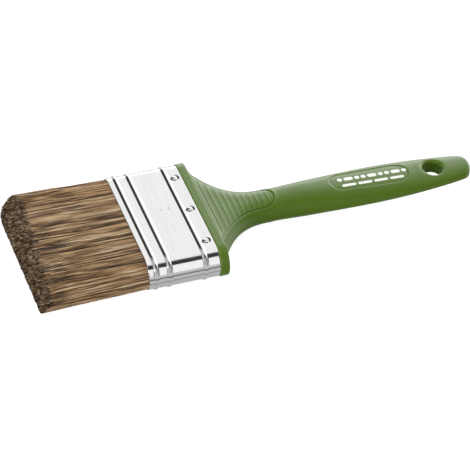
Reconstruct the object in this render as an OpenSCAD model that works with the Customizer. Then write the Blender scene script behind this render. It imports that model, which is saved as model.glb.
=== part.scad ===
// Flat paint brush: a hollow moulded handle with a plugged tail, a beaded steel
// ferrule nailed to the handle's tenon, and a bristle pack in three layers that
// is set in resin and parted by two spacer strips.
//
// Every module is drawn in the brush's own working frame: X = 0 is the mouth of
// the ferrule, +X runs to the butt of the handle, Y is the width and Z = 0 is
// the mid-plane. placed() then moves the brush so that it lies on Z = 0 with the
// middle of its length and width over the origin.

/* [Ferrule] */
// Width over the ferrule
ferrule_w = 70; // [50:1:100]
// Thickness over the ferrule
ferrule_t = 15.8; // [15.4:0.1:18]
// Length of the ferrule along the brush
ferrule_l = 32.3; // [30:0.1:40]
// Thickness of the sheet
sheet_t = 0.4; // [0.3:0.05:0.6]
// Height that the pressed beads stand proud
bead_h = 0.5; // [0.3:0.05:0.7]
// Radius of a bead's round profile
bead_r = 1.4; // [1:0.05:1.6]
// Middle of each bead, measured from the mouth
bead_x = [3.6, 9.6, 25.8];

/* [Nails] */
// Distance from the row of nails to the handle end of the ferrule
nail_inset = 3.4; // [2.8:0.1:4]
// Distance from the middle nail to each outer nail, as a share of the ferrule's width
nail_spread = 0.32; // [0.32:0.01:0.38]
// Shift of the whole row of nails off the middle of the width
nail_shift = -0.95; // [-1:0.05:0]
// Radius of a nail's shank
nail_r = 0.7; // [0.5:0.05:0.9]
// Radius of a nail's head
nail_head_r = 1.6; // [1.2:0.05:1.8]
// Length of a nail's shank
nail_l = 5.5; // [4:0.1:6]

/* [Handle] */
// Length of the handle behind the ferrule
handle_l = 129.2; // [120:0.1:150]
// Length of the flange that the ferrule butts against
flange_l = 4; // [3:0.1:5]
// Amount that the flange stands proud of each side of the ferrule
flange_proud = 0.5; // [0.3:0.1:1]
// Height of the step from the flange down to the shoulder behind it
flange_step = 0.3; // [0.2:0.05:0.5]
// Depth of the step at each end of the flange, where the shoulder starts narrower
neck_inset = 5.6; // [4:0.1:7]
// Distance from the ferrule to the narrowest place, where the shoulder ends
waist_x = 32; // [28:0.5:36]
// Half of the width at the waist
waist_hw = 8.2; // [7.6:0.1:9]
// Half of the thickness at the waist
waist_ht = 6.1; // [5.9:0.1:6.5]
// Distance from the ferrule to the thickest place of the grip
belly_x = 51; // [44:1:60]
// Half of the thickness at the thickest place of the grip
belly_ht = 6.5; // [6.2:0.1:7.2]
// Distance from the ferrule to the widest place of the grip
swell_x = 86; // [80:1:90]
// Half of the width at the swell
swell_hw = 10.8; // [10:0.1:12]
// Half of the width at the butt, before its corners are rounded
tail_hw = 6.7; // [6.5:0.1:8]
// Half of the thickness at the butt
tail_ht = 3; // [2.9:0.1:3.6]
// Length of the round corners at the butt
butt_round = 7; // [5:0.5:8]

/* [Tail cap] */
// Length of the separate tail cap
cap_l = 25.2; // [24.5:0.1:27]
// Length of the spigot that plugs the cap into the handle
spigot_l = 12; // [8:0.5:16]
// Distance from the butt to the middle of the hang hole
hole_inset = 17.6; // [15:0.1:18]
// Radius of the hang hole
hole_r = 4.5; // [4:0.1:5.2]

/* [Bristles] */
// Length of the bristles outside the ferrule
bristle_out = 48; // [40:0.5:60]
// Spread of each side of the pack at its tip
tip_spread = 1.3; // [0:0.1:2]
// Growth of each face of the pack at its tip
tip_growth = 0.4; // [0:0.1:0.5]
// Radius of the domed cut across the tip
tip_dome_r = 16; // [14:1:40]
// Distance that the middle of that cut lies below the mid-plane
tip_dome_drop = 3; // [0:0.5:4]
// Distance from the mouth of the ferrule out to the axis that the pack bends about
flex_out = 3; // [2.6:0.1:4]
// Thickness of each spacer strip between the layers
spacer_t = 1.6; // [1:0.1:2]

/* [Hidden] */

$fn = 64;

// Clearance between pieces that slide together, and between pieces set in place
slide_gap = 0.2;
set_gap = 0.05;

// Half sizes of the ferrule, outside and inside
half_w = ferrule_w / 2;
half_t = ferrule_t / 2;
inner_w = half_w - sheet_t;
inner_t = half_t - sheet_t;

// Place of the whole brush
mouth_x = (bristle_out - ferrule_l - handle_l) / 2;
axis_z = half_t + bead_h;

// Pieces inside the ferrule, in order from the mouth
spacer_x = 5;
roots_end_x = 11.8;
resin_x = 12;
tenon_x = 16;

// Nails
nail_x = ferrule_l - nail_inset;
nail_step = ferrule_w * nail_spread;
nail_row = [nail_shift - nail_step, nail_shift, nail_shift + nail_step];
nail_head_h = 0.35;

// Handle outline: half width where the shoulder starts, how fast the shoulder
// falls, how the grip thins, and how round a cross-section is from neck to grip
neck_hw = half_w - neck_inset;
shoulder_power = 2.55;
taper_power = 1.05;
neck_section = 7.6;
grip_section = 2.4;
butt_power = 2.6;
butt_edge_r = 1.4;
seam_x = handle_l - cap_l;
seam_gap = 0.15;
shoulder_start = flange_l - 1;
ring_crowding = 1.4;
body_rings = 36;
cap_rings = 9;
butt_rings = 12;
ring_sides = 48;

// Hollow core of the grip and the pockets that lighten the tenon
core_x = 40;
core_hw = 6.6;
core_ht = 2.9;
pocket_floor_x = 2;
pocket_place = [-0.486, -0.214, 0.214, 0.486];
pocket_w = 0.17 * half_w;
pocket_t = 10;

// Hang hole: half length of its straight wall and slope of its bevelled rim
hole_wall = 3.3;
bevel_rise = 2;
bevel_grow = 1.7;

// Bristle pack: half sizes in the mouth and at the tip
pack_gap = 0.1;
pack_hw = inner_w - pack_gap;
pack_ht = inner_t - pack_gap;
tip_hw = half_w + tip_spread;
tip_ht = half_t + tip_growth;
socket_gap = 0.3;
knuckle_gap = 0.06;
layer_z = 2.6;
thin = 0.01;
far = 200;

// ---- shared shapes ----

module placed() {
    translate([mouth_x, 0, axis_z]) children();
}

// Flat oval with round sides, half width w and half thickness t, drawn in X and Y
module oval(w, t) {
    square([2 * (w - t), 2 * t], center = true);
    for (side = [-1, 1]) {
        translate([side * (w - t), 0]) circle(r = t);
    }
}

// Straight bar of that oval, from x0 to x1 along the brush
module oval_bar(x0, x1, w, t) {
    translate([x0, 0, 0])
        rotate([90, 0, 90])
        linear_extrude(height = x1 - x0)
        oval(w, t);
}

// Block that holds everything between two heights
module slab(z0, z1) {
    translate([-far, -far, z0]) cube([2 * far, 2 * far, z1 - z0]);
}

// Closed solid through rings of points that all have the same count
module skin(rings) {
    n = len(rings[0]);
    last = (len(rings) - 1) * n;
    walls = [
        for (r = [0 : len(rings) - 2], i = [0 : n - 1])
            let (j = (i + 1) % n)
            [r * n + i, (r + 1) * n + i, (r + 1) * n + j, r * n + j]
    ];
    front = [[for (i = [0 : n - 1]) i]];
    back = [[for (i = [n - 1 : -1 : 0]) last + i]];
    polyhedron(
        points = [for (ring = rings) each ring],
        faces = concat(walls, front, back),
        convexity = 6
    );
}

// ---- outline of the handle; x is measured from the ferrule's handle end ----

function shoulder(x) = pow(max(0, 1 - max(0, x - flange_l) / (waist_x - flange_l)), shoulder_power);

function plan_half(x) =
    x < waist_x ? waist_hw + (neck_hw - waist_hw) * shoulder(x)
    : x < swell_x ? waist_hw + (swell_hw - waist_hw) * (1 - cos(180 * (x - waist_x) / (swell_x - waist_x))) / 2
    : swell_hw - (swell_hw - tail_hw) * pow((x - swell_x) / (handle_l - swell_x), 2);

function butt_factor(x) =
    let (u = max(0, x - handle_l + butt_round) / butt_round)
    pow(max(0, 1 - pow(u, butt_power)), 1 / butt_power);

function side_half(x) =
    x < waist_x ? waist_ht + (half_t - flange_step - waist_ht) * shoulder(x)
    : x < belly_x ? waist_ht + (belly_ht - waist_ht) * (1 - cos(180 * (x - waist_x) / (belly_x - waist_x))) / 2
    : belly_ht - (belly_ht - tail_ht) * pow((x - belly_x) / (handle_l - belly_x), taper_power);

function edge_drop(x) =
    let (u = max(0, x - handle_l + butt_edge_r) / butt_edge_r)
    butt_edge_r * (1 - sqrt(max(0, 1 - u * u)));

function section_power(x) = grip_section + (neck_section - grip_section) * shoulder(x);

function handle_ring(x) =
    let (w = plan_half(x) * butt_factor(x), t = side_half(x) - edge_drop(x), p = 2 / section_power(x))
    [
        for (i = [0 : ring_sides - 1])
            let (a = 360 * i / ring_sides)
            [ferrule_l + x, w * sign(cos(a)) * pow(abs(cos(a)), p), t * sin(a)]
    ];

// ---- handle ----

module tenon() {
    difference() {
        oval_bar(tenon_x, ferrule_l + flange_l / 2, inner_w - slide_gap, inner_t - slide_gap);
        for (share = pocket_place) {
            translate([tenon_x - 1, share * half_w - pocket_w / 2, -pocket_t / 2])
                cube([ferrule_l - tenon_x + pocket_floor_x, pocket_w, pocket_t]);
        }
        for (y = nail_row) {
            translate([nail_x, y, 0]) cylinder(h = 2 * half_t, r = nail_r + set_gap, center = true);
        }
    }
}

module handle_body() {
    color("darkolivegreen") placed() {
        tenon();
        oval_bar(ferrule_l + set_gap, ferrule_l + flange_l, half_w + flange_proud, half_t);
        difference() {
            skin([
                for (i = [0 : body_rings])
                    handle_ring(shoulder_start + (seam_x - shoulder_start) * pow(i / body_rings, ring_crowding))
            ]);
            oval_bar(ferrule_l + core_x, ferrule_l + handle_l, core_hw, core_ht);
        }
    }
}

module hang_hole() {
    translate([ferrule_l + handle_l - hole_inset, 0, 0]) {
        cylinder(h = 4 * tail_ht, r = hole_r, center = true);
        for (side = [0, 1]) {
            mirror([0, 0, side]) translate([0, 0, hole_wall])
                cylinder(h = bevel_rise, r1 = hole_r, r2 = hole_r + bevel_grow);
        }
    }
}

module tail_cap() {
    cap_x = seam_x + seam_gap;
    round_x = handle_l - butt_round;
    color("olivedrab") placed() difference() {
        union() {
            skin(concat(
                [for (i = [0 : cap_rings - 1]) handle_ring(cap_x + (round_x - cap_x) * i / cap_rings)],
                [for (i = [0 : butt_rings]) handle_ring(round_x + 0.999 * butt_round * sin(90 * i / butt_rings))]
            ));
            oval_bar(ferrule_l + seam_x - spigot_l, ferrule_l + cap_x + 1,
                core_hw - slide_gap, core_ht - slide_gap);
        }
        hang_hole();
    }
}

// ---- ferrule and its nails ----

// Half-round ridge that runs all the way round the ferrule
module bead(x) {
    ring_r = half_t + bead_h - bead_r;
    flat = half_w - half_t;
    translate([x, 0, 0]) {
        for (side = [-1, 1]) {
            translate([0, 0, side * ring_r])
                rotate([90, 0, 0])
                cylinder(h = 2 * flat, r = bead_r, center = true);
            translate([0, side * flat, 0])
                rotate([0, 90, 0])
                rotate([0, 0, side * 90 - 90])
                rotate_extrude(angle = 180)
                translate([ring_r, 0])
                circle(r = bead_r);
        }
    }
}

module ferrule() {
    color("silver") placed() difference() {
        union() {
            oval_bar(0, ferrule_l, half_w, half_t);
            for (x = bead_x) bead(x);
        }
        oval_bar(-1, ferrule_l + 1, inner_w, inner_t);
        for (y = nail_row) {
            translate([nail_x, y, 0]) cylinder(h = 4 * half_t, r = nail_r + set_gap, center = true);
        }
    }
}

// One nail; face is 1 for the top and -1 for the bottom, y is its place across the width
module nail(face, y) {
    color("gainsboro") placed()
        mirror([0, 0, face < 0 ? 1 : 0])
        translate([nail_x, y, half_t]) {
            translate([0, 0, -nail_l]) cylinder(h = nail_l, r = nail_r);
            cylinder(h = nail_head_h, r1 = nail_head_r, r2 = nail_head_r * 0.7);
        }
}

// ---- what holds the bristles inside the ferrule ----

module resin_setting() {
    color("goldenrod") placed()
        oval_bar(resin_x, tenon_x - slide_gap, inner_w - set_gap, inner_t - set_gap);
}

module spacer(side) {
    color("burlywood") placed()
        translate([spacer_x, -inner_w + inner_t, side * layer_z - spacer_t / 2])
        cube([roots_end_x - spacer_x, 2 * (inner_w - inner_t), spacer_t]);
}

// Fixed end of one layer of bristles, hollowed at the front for the free pack to turn in
module roots(z0, z1) {
    color("saddlebrown") placed() difference() {
        intersection() {
            oval_bar(0.4, roots_end_x, pack_hw, pack_ht);
            slab(z0, z1);
        }
        translate([-flex_out, 0, 0])
            rotate([90, 0, 0])
            cylinder(h = 2 * ferrule_w, r = pack_ht + socket_gap, center = true);
        for (side = [-1, 1]) {
            translate([spacer_x - set_gap, -half_w, side * layer_z - spacer_t / 2 - set_gap])
                cube([roots_end_x, ferrule_w, spacer_t + 2 * set_gap]);
        }
    }
}

// ---- free bristles ----

// Everything inside the domed cut across the tip
module tip_dome() {
    translate([tip_dome_r - bristle_out, 0, -tip_dome_drop]) {
        rotate([90, 0, 0]) cylinder(h = 2 * ferrule_w, r = tip_dome_r, center = true, $fn = 160);
        translate([0, -ferrule_w, -tip_dome_r]) cube([far, 2 * ferrule_w, 2 * tip_dome_r]);
    }
}

// Round back of the pack: a rod with ball ends, which keeps its outline as it turns
module knuckle() {
    rod = pack_hw - pack_ht;
    translate([-flex_out, 0, 0]) {
        rotate([90, 0, 0]) cylinder(h = 2 * rod, r = pack_ht - knuckle_gap, center = true);
        for (side = [-1, 1]) {
            translate([0, side * rod, 0]) sphere(r = pack_ht - knuckle_gap);
        }
    }
}

// Whole free pack: a round back that turns inside the mouth, and a slightly
// spreading body that ends in the domed cut
module free_pack() {
    intersection() {
        union() {
            knuckle();
            hull() {
                oval_bar(-flex_out, -flex_out + thin, pack_hw, pack_ht);
                oval_bar(-bristle_out, -bristle_out + thin, tip_hw, tip_ht);
            }
        }
        tip_dome();
    }
}

module bristles(z0, z1) {
    color("sienna") placed() intersection() {
        free_pack();
        slab(z0, z1);
    }
}

handle_body();
tail_cap();
ferrule();
nail(1, nail_row[0]);  // nail_top_near
nail(1, nail_row[1]);  // nail_top_middle
nail(1, nail_row[2]);  // nail_top_far
nail(-1, nail_row[0]);  // nail_bottom_near
nail(-1, nail_row[1]);  // nail_bottom_middle
nail(-1, nail_row[2]);  // nail_bottom_far
resin_setting();
spacer(1);  // spacer_upper
spacer(-1);  // spacer_lower
roots(layer_z, far);  // roots_upper
roots(-layer_z, layer_z);  // roots_middle
roots(-far, -layer_z);  // roots_lower
bristles(layer_z, far);  // bristles_upper
bristles(-layer_z, layer_z);  // bristles_middle
bristles(-far, -layer_z);  // bristles_lower
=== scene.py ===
"""Looks for the flat paint brush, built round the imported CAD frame.

Shapes are worked out in the brush's own frame, in millimetres: X = 0 is the mouth
of the ferrule, +X runs to the butt of the handle, Y is the width and Z = 0 is the
mid-plane. The handle, its cap and its print count x from the front of the handle
instead, and are moved on by the ferrule's length when they are made. to_row()
moves points into the shared frame, in metres.
"""

import math
from types import SimpleNamespace

import bpy
import numpy as np
from mathutils import Matrix, Vector


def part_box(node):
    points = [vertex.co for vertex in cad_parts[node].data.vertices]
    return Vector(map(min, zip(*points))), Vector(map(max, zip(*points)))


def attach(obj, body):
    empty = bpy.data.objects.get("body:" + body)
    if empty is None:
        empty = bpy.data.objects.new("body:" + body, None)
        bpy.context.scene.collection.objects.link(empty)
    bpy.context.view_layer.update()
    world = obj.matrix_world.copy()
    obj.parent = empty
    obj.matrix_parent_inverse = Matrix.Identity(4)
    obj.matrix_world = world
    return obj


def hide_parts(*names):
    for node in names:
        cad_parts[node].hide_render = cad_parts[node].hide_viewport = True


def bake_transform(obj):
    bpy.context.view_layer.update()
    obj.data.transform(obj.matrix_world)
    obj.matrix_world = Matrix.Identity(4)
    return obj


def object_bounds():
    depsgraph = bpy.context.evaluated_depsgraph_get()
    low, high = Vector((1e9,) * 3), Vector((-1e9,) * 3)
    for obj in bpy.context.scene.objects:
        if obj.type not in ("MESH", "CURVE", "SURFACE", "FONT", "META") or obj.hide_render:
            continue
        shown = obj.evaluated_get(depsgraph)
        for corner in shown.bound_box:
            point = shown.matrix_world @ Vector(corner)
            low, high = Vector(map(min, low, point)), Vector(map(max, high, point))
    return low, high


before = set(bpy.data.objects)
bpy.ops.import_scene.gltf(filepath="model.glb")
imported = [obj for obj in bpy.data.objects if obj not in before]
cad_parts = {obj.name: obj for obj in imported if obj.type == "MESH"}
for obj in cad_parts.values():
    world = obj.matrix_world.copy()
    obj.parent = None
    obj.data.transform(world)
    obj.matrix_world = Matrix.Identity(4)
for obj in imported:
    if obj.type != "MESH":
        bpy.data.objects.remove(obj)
CAD_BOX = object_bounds()
SCENE = bpy.context.scene

MM = 0.001
FERRULE_LO, FERRULE_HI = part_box("ferrule")
MOUTH_X = FERRULE_LO.x
AXIS_Z = (FERRULE_LO.z + FERRULE_HI.z) / 2
FERRULE_L = (FERRULE_HI.x - FERRULE_LO.x) / MM
CHUNK = 4000


def to_row(points):
    """Points of the brush's own frame, in millimetres, as points of the shared frame, in metres."""
    moved = np.asarray(points, float) * MM
    moved[..., 0] += MOUTH_X
    moved[..., 2] += AXIS_Z
    return moved


def smooth(value, low, high):
    """0 below low, 1 above high, and a smooth step between; low may be above high."""
    t = np.clip((np.asarray(value, float) - low) / (high - low), 0, 1)
    return t * t * (3 - 2 * t)


def bell(value, middle, half):
    """1 at the middle, falling smoothly to nothing about two halves away."""
    return np.exp(-((value - middle) / half) ** 2)


def nearest(points, marks):
    """For each point, the number of the nearest mark and the distance to it."""
    number = np.empty(len(points), int)
    gap = np.empty(len(points))
    for start in range(0, len(points), CHUNK):
        part = points[start:start + CHUNK]
        squared = ((part[:, None, :] - marks[None, :, :]) ** 2).sum(-1)
        number[start:start + CHUNK] = squared.argmin(1)
        gap[start:start + CHUNK] = np.sqrt(squared.min(1))
    return number, gap


# -------------------- meshes

def new_mesh(name, points, faces):
    """A smooth mesh object from points in the brush's frame and face arrays, each of one corner count."""
    mesh = bpy.data.meshes.new(name)
    points = to_row(points)
    mesh.vertices.add(len(points))
    mesh.vertices.foreach_set("co", points.astype(np.float32).ravel())
    blocks = [np.asarray(f, np.int32) for f in faces]
    corners = np.concatenate([b.ravel() for b in blocks])
    counts = np.concatenate([np.full(len(b), b.shape[1], np.int32) for b in blocks])
    starts = np.concatenate([[0], np.cumsum(counts)[:-1]]).astype(np.int32)
    mesh.loops.add(len(corners))
    mesh.loops.foreach_set("vertex_index", corners)
    mesh.polygons.add(len(counts))
    mesh.polygons.foreach_set("loop_start", starts)
    mesh.update(calc_edges=True)
    mesh.validate()
    mesh.polygons.foreach_set("use_smooth", np.full(len(mesh.polygons), True))
    obj = bpy.data.objects.new(name, mesh)
    SCENE.collection.objects.link(obj)
    return obj


def point_values(obj, label, values):
    """A value at each point, for the material to read."""
    attribute = obj.data.attributes.new(label, "FLOAT", "POINT")
    attribute.data.foreach_set("value", np.asarray(values, np.float32))


def grid_faces(rows, columns, start=0, closed=False):
    """Quads between rings of points, one ring a row; when closed, the last ring joins the first."""
    r = np.arange(rows if closed else rows - 1)[:, None] * columns
    after = (r + columns) % (rows * columns)
    c = np.arange(columns)[None, :]
    d = (c + 1) % columns
    return start + np.stack([r + c, after + c, after + d, r + d], -1).reshape(-1, 4)


def fan_faces(ring, centre, flip):
    """Triangles from each edge of a ring of point numbers to one centre point."""
    after = np.roll(ring, -1)
    pair = (after, ring) if flip else (ring, after)
    return np.stack([pair[0], pair[1], np.full(len(ring), centre)], -1)


def capped_faces(rows, columns, start=0):
    """Faces of a tube of rings, closed by the two centre points that follow its rings."""
    ring = np.arange(columns) + start
    centre = start + rows * columns
    return [grid_faces(rows, columns, start), fan_faces(ring, centre, True),
            fan_faces(ring + (rows - 1) * columns, centre + 1, False)]


def grid_normals(points):
    """Unit normals of a grid of points, one closed ring a row."""
    along = np.gradient(points, axis=0)
    across = (np.roll(points, -1, 1) - np.roll(points, 1, 1)) / 2
    normal = np.cross(along, across)
    length = np.linalg.norm(normal, axis=-1, keepdims=True)
    return normal / np.maximum(length, 1e-9)


def spaced(first, knots):
    """Row places from the first on: knots is a list of (end, step)."""
    places = [first]
    for end, step in knots:
        count = max(1, int(round((end - places[-1]) / step)))
        places.extend(np.linspace(places[-1], end, count + 1)[1:])
    return np.array(places)


def shares(count):
    """Even shares of a closed line's length, from 0 up."""
    return np.linspace(0, 1, count, endpoint=False)


def ring_at(x, y, z):
    """Points in the plane at x."""
    return np.stack([np.full(len(y), x), y, z], -1)


def facing_outward(points, faces):
    """The same faces, turned round if the closed surface they make is inside out."""
    volume = 0.0
    for b in faces:
        for k in range(1, b.shape[1] - 1):
            volume += np.einsum("ij,ij->", points[b[:, 0]], np.cross(points[b[:, k]], points[b[:, k + 1]]))
    return faces if volume > 0 else [b[:, ::-1] for b in faces]


# -------------------- sizes, as in the CAD

HALF_W = 35.0
HALF_T = 7.9
SHEET = 0.4
BEADS = (3.6, 9.6, 25.8)
BEAD_H = 0.5
BEAD_R = 1.4
BEAD_FOOT, BEAD_FOOT_X = 0.16, 0.95
FLANGE_L = 4.0
FLANGE_PROUD = 0.5
FLANGE_STEP = 0.3
NECK_HW = HALF_W - 5.6
SHOULDER_POWER = 2.55
WAIST_X, WAIST_HW, WAIST_HT = 32.0, 8.2, 6.1
BELLY_X, BELLY_HT = 51.0, 6.5
SWELL_X, SWELL_HW = 86.0, 10.8
TAIL_HW, TAIL_HT = 6.7, 3.0
TAPER_POWER = 1.05
GRIP_SQUARENESS, NECK_SQUARENESS = 2.4, 5.2
HANDLE_L = 129.2
BUTT_ROUND, BUTT_POWER = 7.0, 2.6
SEAM_X, SEAM_GAP = 104.0, 0.05
HOLE_X, HOLE_R = HANDLE_L - 17.6, 4.5
PACK_OUT = 48.0
TIP_HW, TIP_HT = 36.2, 8.2
DOME_R, DOME_DROP = 16.0, 3.0
TIP_TWIST = 2.4
CORNER_L, CORNER_POWER, FAR_CORNER, NEAR_CORNER = 7.0, 2.9, 3.0, 2.0
MOUTH_HW, MOUTH_HT = HALF_W - SHEET - 0.15, HALF_T - SHEET - 0.15


def nail_place(node):
    """Middle of a nail in the brush's own frame, from the CAD piece."""
    low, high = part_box(node)
    return ((low.x + high.x) / 2 - MOUTH_X) / MM, (low.y + high.y) / 2 / MM


NAIL_ROW = [nail_place("nail_top_" + place) for place in ("near", "middle", "far")]


def shoulder(x):
    """1 at the flange, falling to 0 at the waist."""
    return np.clip(1 - np.maximum(0, x - FLANGE_L) / (WAIST_X - FLANGE_L), 0, None) ** SHOULDER_POWER


def plan_half(x):
    """Half of the handle's width."""
    x = np.asarray(x, float)
    flare = WAIST_HW + (NECK_HW - WAIST_HW) * shoulder(x)
    grip = WAIST_HW + (SWELL_HW - WAIST_HW) * (1 - np.cos(np.pi * (x - WAIST_X) / (SWELL_X - WAIST_X))) / 2
    tail = SWELL_HW - (SWELL_HW - TAIL_HW) * ((x - SWELL_X) / (HANDLE_L - SWELL_X)) ** 2
    return np.where(x < WAIST_X, flare, np.where(x < SWELL_X, grip, tail))


def side_half(x):
    """Half of the handle's thickness."""
    x = np.asarray(x, float)
    flare = WAIST_HT + (HALF_T - FLANGE_STEP - WAIST_HT) * shoulder(x)
    swell = WAIST_HT + (BELLY_HT - WAIST_HT) * (1 - np.cos(np.pi * (x - WAIST_X) / (BELLY_X - WAIST_X))) / 2
    share = np.clip((x - BELLY_X) / (HANDLE_L - BELLY_X), 0, None)
    taper = BELLY_HT - (BELLY_HT - TAIL_HT) * share ** TAPER_POWER
    return np.where(x < WAIST_X, flare, np.where(x < BELLY_X, swell, taper))


def section_power(x):
    """How square the handle's section is: 2 is an ellipse."""
    return GRIP_SQUARENESS + NECK_SQUARENESS * shoulder(np.asarray(x, float))


def top_height(x, y):
    """Height of the plain handle surface over a point of its plan."""
    q = np.clip(np.abs(y) / plan_half(x), 0, 1)
    return side_half(x) * np.sqrt(np.maximum(0, 1 - q ** section_power(x)))


def butt_width(x):
    """Half of the handle's width where its end is rounded."""
    u = np.clip((np.asarray(x, float) - HANDLE_L + BUTT_ROUND) / BUTT_ROUND, 0, 1)
    return plan_half(x) * np.maximum(0, 1 - u ** BUTT_POWER) ** (1 / BUTT_POWER)


def even_steps(y, z, fractions):
    """Points at the given shares of a polyline's length."""
    length = np.concatenate([[0], np.cumsum(np.hypot(np.diff(y), np.diff(z)))])
    at = fractions * length[-1]
    return np.interp(at, length, y), np.interp(at, length, z)


def stadium_half(hw, ht, fractions):
    """Upper half of the flat oval, from +Y to -Y, at shares of its length."""
    a = np.linspace(0, np.pi / 2, 60)
    y = np.concatenate([hw - ht + ht * np.cos(a), -(hw - ht) - ht * np.cos(a[::-1])])
    z = np.concatenate([ht * np.sin(a), ht * np.sin(a[::-1])])
    return even_steps(y, z, fractions)


def stadium_ring(x, hw, ht, half_count):
    """A whole ring of the flat oval in the plane at x."""
    y, z = stadium_half(hw, ht, shares(half_count))
    return np.concatenate([ring_at(x, y, z), ring_at(x, -y, -z)])


def section_half(x, fractions):
    """Upper half of the handle's section at x, from +Y to -Y, at shares of its length."""
    a = np.linspace(0, np.pi, 1601)
    c = np.cos(a)
    y = plan_half(x) * np.sign(c) * np.abs(c) ** (2 / section_power(x))
    z = side_half(x) * np.sin(a)
    return even_steps(y, z, fractions)


# -------------------- grip pattern and label recess

RIB_PITCH = 2.67
RIB_FIRST = 6.2
RIB_COUNT = 11
RIB_HEIGHT = 0.13
RIB_HALF = 0.4
RIB_ROWS = (-0.78, -0.5, -0.3, -0.1, 0.1, 0.3, 0.5, 0.78, 1.32)
PANEL_END = RIB_FIRST + RIB_PITCH * RIB_COUNT
PANEL_ROUND = 30.0
PANEL_HW, PANEL_FLARE, PANEL_FLARE_L, PANEL_POWER = 6.05, 18.0, 26.0, 2.31
PANEL_DEPTH = 0.14
GROOVE_DEPTH, GROOVE_HALF = 0.42, 0.36
LIP_HEIGHT, LIP_OUT, LIP_HALF = 0.18, 0.95, 0.45
LABEL_X = (62.3, 99.8)
LABEL_HALF = (5.3, 6.4)
LABEL_DEPTH = 0.35
LABEL_EDGE = 0.25


def panel_half(x):
    """Half of the width of the ribbed thumb panel."""
    x = np.asarray(x, float)
    plain = PANEL_HW + PANEL_FLARE * np.clip(1 - (x - FLANGE_L) / PANEL_FLARE_L, 0, 1) ** PANEL_POWER
    past_round = np.maximum(0, x - PANEL_ROUND) / (PANEL_END - PANEL_ROUND)
    return plain * np.sqrt(np.clip(1 - past_round ** 2, 0, 1))


def label_distance(x, y):
    """Distance outward from the label recess's edge, negative inside."""
    half = np.interp(x, LABEL_X, LABEL_HALF)
    left = np.hypot(np.minimum(0, x - LABEL_X[0] - LABEL_HALF[0]), y) - half
    right = np.hypot(np.maximum(0, x - LABEL_X[1] + LABEL_HALF[1]), y) - half
    return np.maximum(left, right)


def panel_distance(x, y, z):
    """Distance over the surface outward from the panel's edge line, negative inside it."""
    turn = np.linspace(0, np.pi / 2, 90)
    along = np.concatenate([np.linspace(1.0, PANEL_ROUND, 180),
                            PANEL_ROUND + (PANEL_END - PANEL_ROUND) * np.sin(turn)])
    half = panel_half(along)
    line = np.stack([along, half, top_height(along, half)], -1)
    gap = nearest(np.stack([x, np.abs(y), np.abs(z)], -1), line)[1]
    inside = (np.abs(y) < panel_half(x)) & (x < PANEL_END)
    return np.where(inside, -gap, gap)


def relief(x, y, z):
    """Height of the moulded details over the plain handle surface."""
    height = -LABEL_DEPTH * smooth(label_distance(x, y), LABEL_EDGE, -LABEL_EDGE)
    near = x < PANEL_END + 6
    edge = np.full(x.shape, 9.0)
    edge[near] = panel_distance(x[near], y[near], z[near])
    number = np.clip(np.round((x - RIB_FIRST) / RIB_PITCH), 0, RIB_COUNT - 1)
    rib = bell(x - RIB_FIRST, RIB_PITCH * number, RIB_HALF)
    panel_floor = smooth(edge, -0.3, -0.9) * smooth(x, FLANGE_L + 0.4, FLANGE_L + 1.2)
    height = height + (RIB_HEIGHT * rib - PANEL_DEPTH) * panel_floor
    groove = bell(edge, 0, GROOVE_HALF) * smooth(x, FLANGE_L + 0.3, FLANGE_L + 1.2)
    lip = bell(edge, LIP_OUT, LIP_HALF) * smooth(x, FLANGE_L + 0.3, FLANGE_L + 1.6)
    return height - GROOVE_DEPTH * groove + LIP_HEIGHT * lip


# -------------------- handle

TOP_COLUMNS, LOW_COLUMNS = 230, 130
NECK_BLEND = 0.42
FRONT_X, FRONT_R = 0.05, 0.6
BACK_R, BACK_L = 0.7, 0.6
MOULD_LINE, MOULD_LINE_HALF = 0.07, 0.22
SEAM_EDGE, SEAM_EDGE_L = 0.03, 0.15
TENON_X, TENON_GAP = (-16.2, -0.02), 0.25
HANDLE_START = [(0.65, 0.12), (3.3, 0.5), (FLANGE_L, 0.1), (5.1, 0.12)]
HANDLE_REST = [(PANEL_END + 1.2, 0.22), (61.6, 0.85), (68.6, 0.26), (93.4, 0.85), (100.6, 0.26),
               (103.7, 0.5), (SEAM_X, 0.1)]
ONE_ROW = 9.0


def handle_ring(x):
    """The handle's plain section at x, where the flange's flat oval gives way to the shoulder."""
    mix = 1 - math.exp(-max(0.0, x - FLANGE_L) / NECK_BLEND)
    parts = []
    for share, side in ((shares(TOP_COLUMNS), 1), (shares(LOW_COLUMNS), -1)):
        flange_y, flange_z = stadium_half(HALF_W + FLANGE_PROUD, HALF_T, share)
        grip_y, grip_z = section_half(max(x, FLANGE_L), share)
        y = flange_y * (1 - mix) + grip_y * mix
        z = flange_z * (1 - mix) + grip_z * mix
        parts.append(ring_at(x, side * y, side * z))
    return np.concatenate(parts)


def handle_edges(x, z):
    """Height of the mould's parting line, less the rounding of the flange's edges and of the cap's seam."""
    line = MOULD_LINE * bell(z, 0, MOULD_LINE_HALF) * smooth(x, 5, 9)
    front = FRONT_R - np.clip(x - FRONT_X, 0, FRONT_R)
    front = np.sqrt(np.clip(FRONT_R ** 2 - front ** 2, 0, None)) - FRONT_R
    back = np.sqrt(BACK_R ** 2 - np.clip(x - FLANGE_L + BACK_L, 0, BACK_L) ** 2) - BACK_R
    back = back * np.exp(-np.maximum(0, x - FLANGE_L) / 0.3)
    return line + front + back - SEAM_EDGE * smooth(x, SEAM_X - SEAM_EDGE_L, SEAM_X)


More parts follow.
